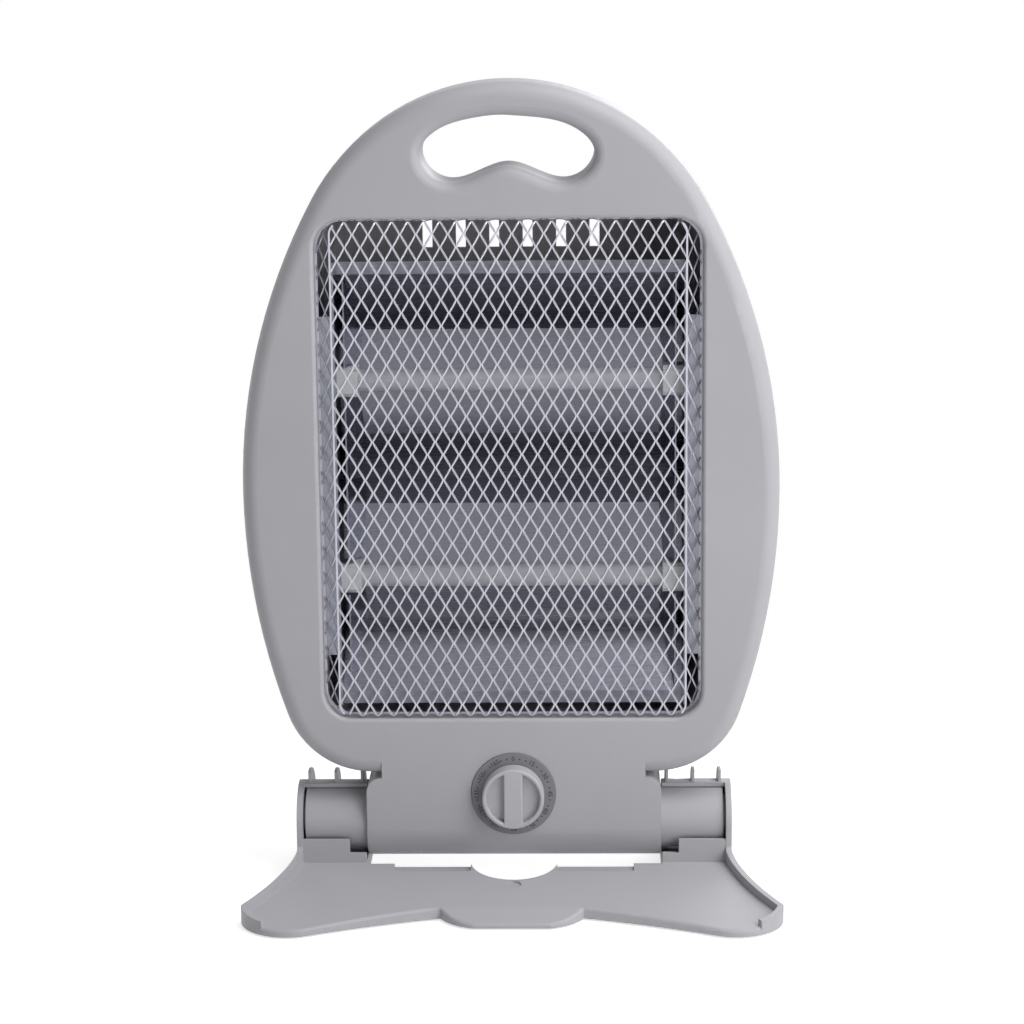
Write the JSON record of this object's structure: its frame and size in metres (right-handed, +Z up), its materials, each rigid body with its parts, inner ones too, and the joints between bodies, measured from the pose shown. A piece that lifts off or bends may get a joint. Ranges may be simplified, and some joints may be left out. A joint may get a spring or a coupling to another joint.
{
  "type": "quartz heater",
  "caption": "Portable quartz tube heater with an egg-shaped body, handle hole, diamond mesh grille, bright reflector, rotary knob and a hinged folding base with winged feet.",
  "frame": {"origin": "centre of the footprint of the whole heater, on the floor under its feet", "axes": "+Z up, the front with the grille and the knob faces -Y, +X to the right as seen from the front"},
  "size_m": [0.268, 0.144, 0.407],
  "materials": {
    "case_plastic": "satin moulded",
    "knob_plastic": "satin moulded",
    "dial_plastic": "satin, marked",
    "mesh_steel": "bright plated",
    "reflector_sheet": "bright rolled",
    "plated_steel": "zinc plated",
    "screw_steel": "zinc plated",
    "quartz_glass": "frosted",
    "coil_wire": "dull wire",
    "holder_ceramic": "unglazed white ceramic",
    "inner_plastic": "moulded",
    "washer_plastic": "moulded",
    "lead_sleeve": "braided sleeve",
    "foot_rubber": "matte"
  },
  "bodies": {
    "base": {"base": "case_plastic", "foot_front_right": "foot_rubber", "foot_front_left": "foot_rubber", "foot_rear_right": "foot_rubber", "foot_rear_left": "foot_rubber", "pivot_pin_left": "screw_steel", "pivot_pin_right": "screw_steel", "friction_washer_left": "washer_plastic", "friction_washer_right": "washer_plastic"},
    "heater": {"bracket_screws": "screw_steel", "case_screws": "screw_steel", "cord_gland": "inner_plastic", "dial_ring": "dial_plastic", "end_bracket_left": "plated_steel", "end_bracket_right": "plated_steel", "front_frame": "case_plastic", "grille": "mesh_steel", "heating_coil_lower": "coil_wire", "heating_coil_upper": "coil_wire", "hinge_drum_left": "case_plastic", "hinge_drum_right": "case_plastic", "lead_left": "lead_sleeve", "lead_right": "lead_sleeve", "quartz_tube_lower": "quartz_glass", "quartz_tube_upper": "quartz_glass", "rear_cover": "case_plastic", "reflector": "reflector_sheet", "rotary_switch": "inner_plastic", "terminal_block": "inner_plastic", "thermal_cutout": "plated_steel", "tip_switch": "inner_plastic", "tube_holder_lower_left": "holder_ceramic", "tube_holder_lower_right": "holder_ceramic", "tube_holder_upper_left": "holder_ceramic", "tube_holder_upper_right": "holder_ceramic"},
    "knob": {"knob": "knob_plastic", "switch_shaft": "screw_steel"}
  },
  "joints": [
    {"name": "body_tilt", "type": "hinge", "parent": "base", "child": "heater", "pos_m": [0, 0.025, 0.0305], "axis": [1, 0, 0], "range_deg": [-10, 90]},
    {"name": "knob_turn", "type": "hinge", "parent": "heater", "child": "knob", "pos_m": [0, 0, 0.0483], "axis": [0, 1, 0], "range_deg": [0, 270]}
  ]
}
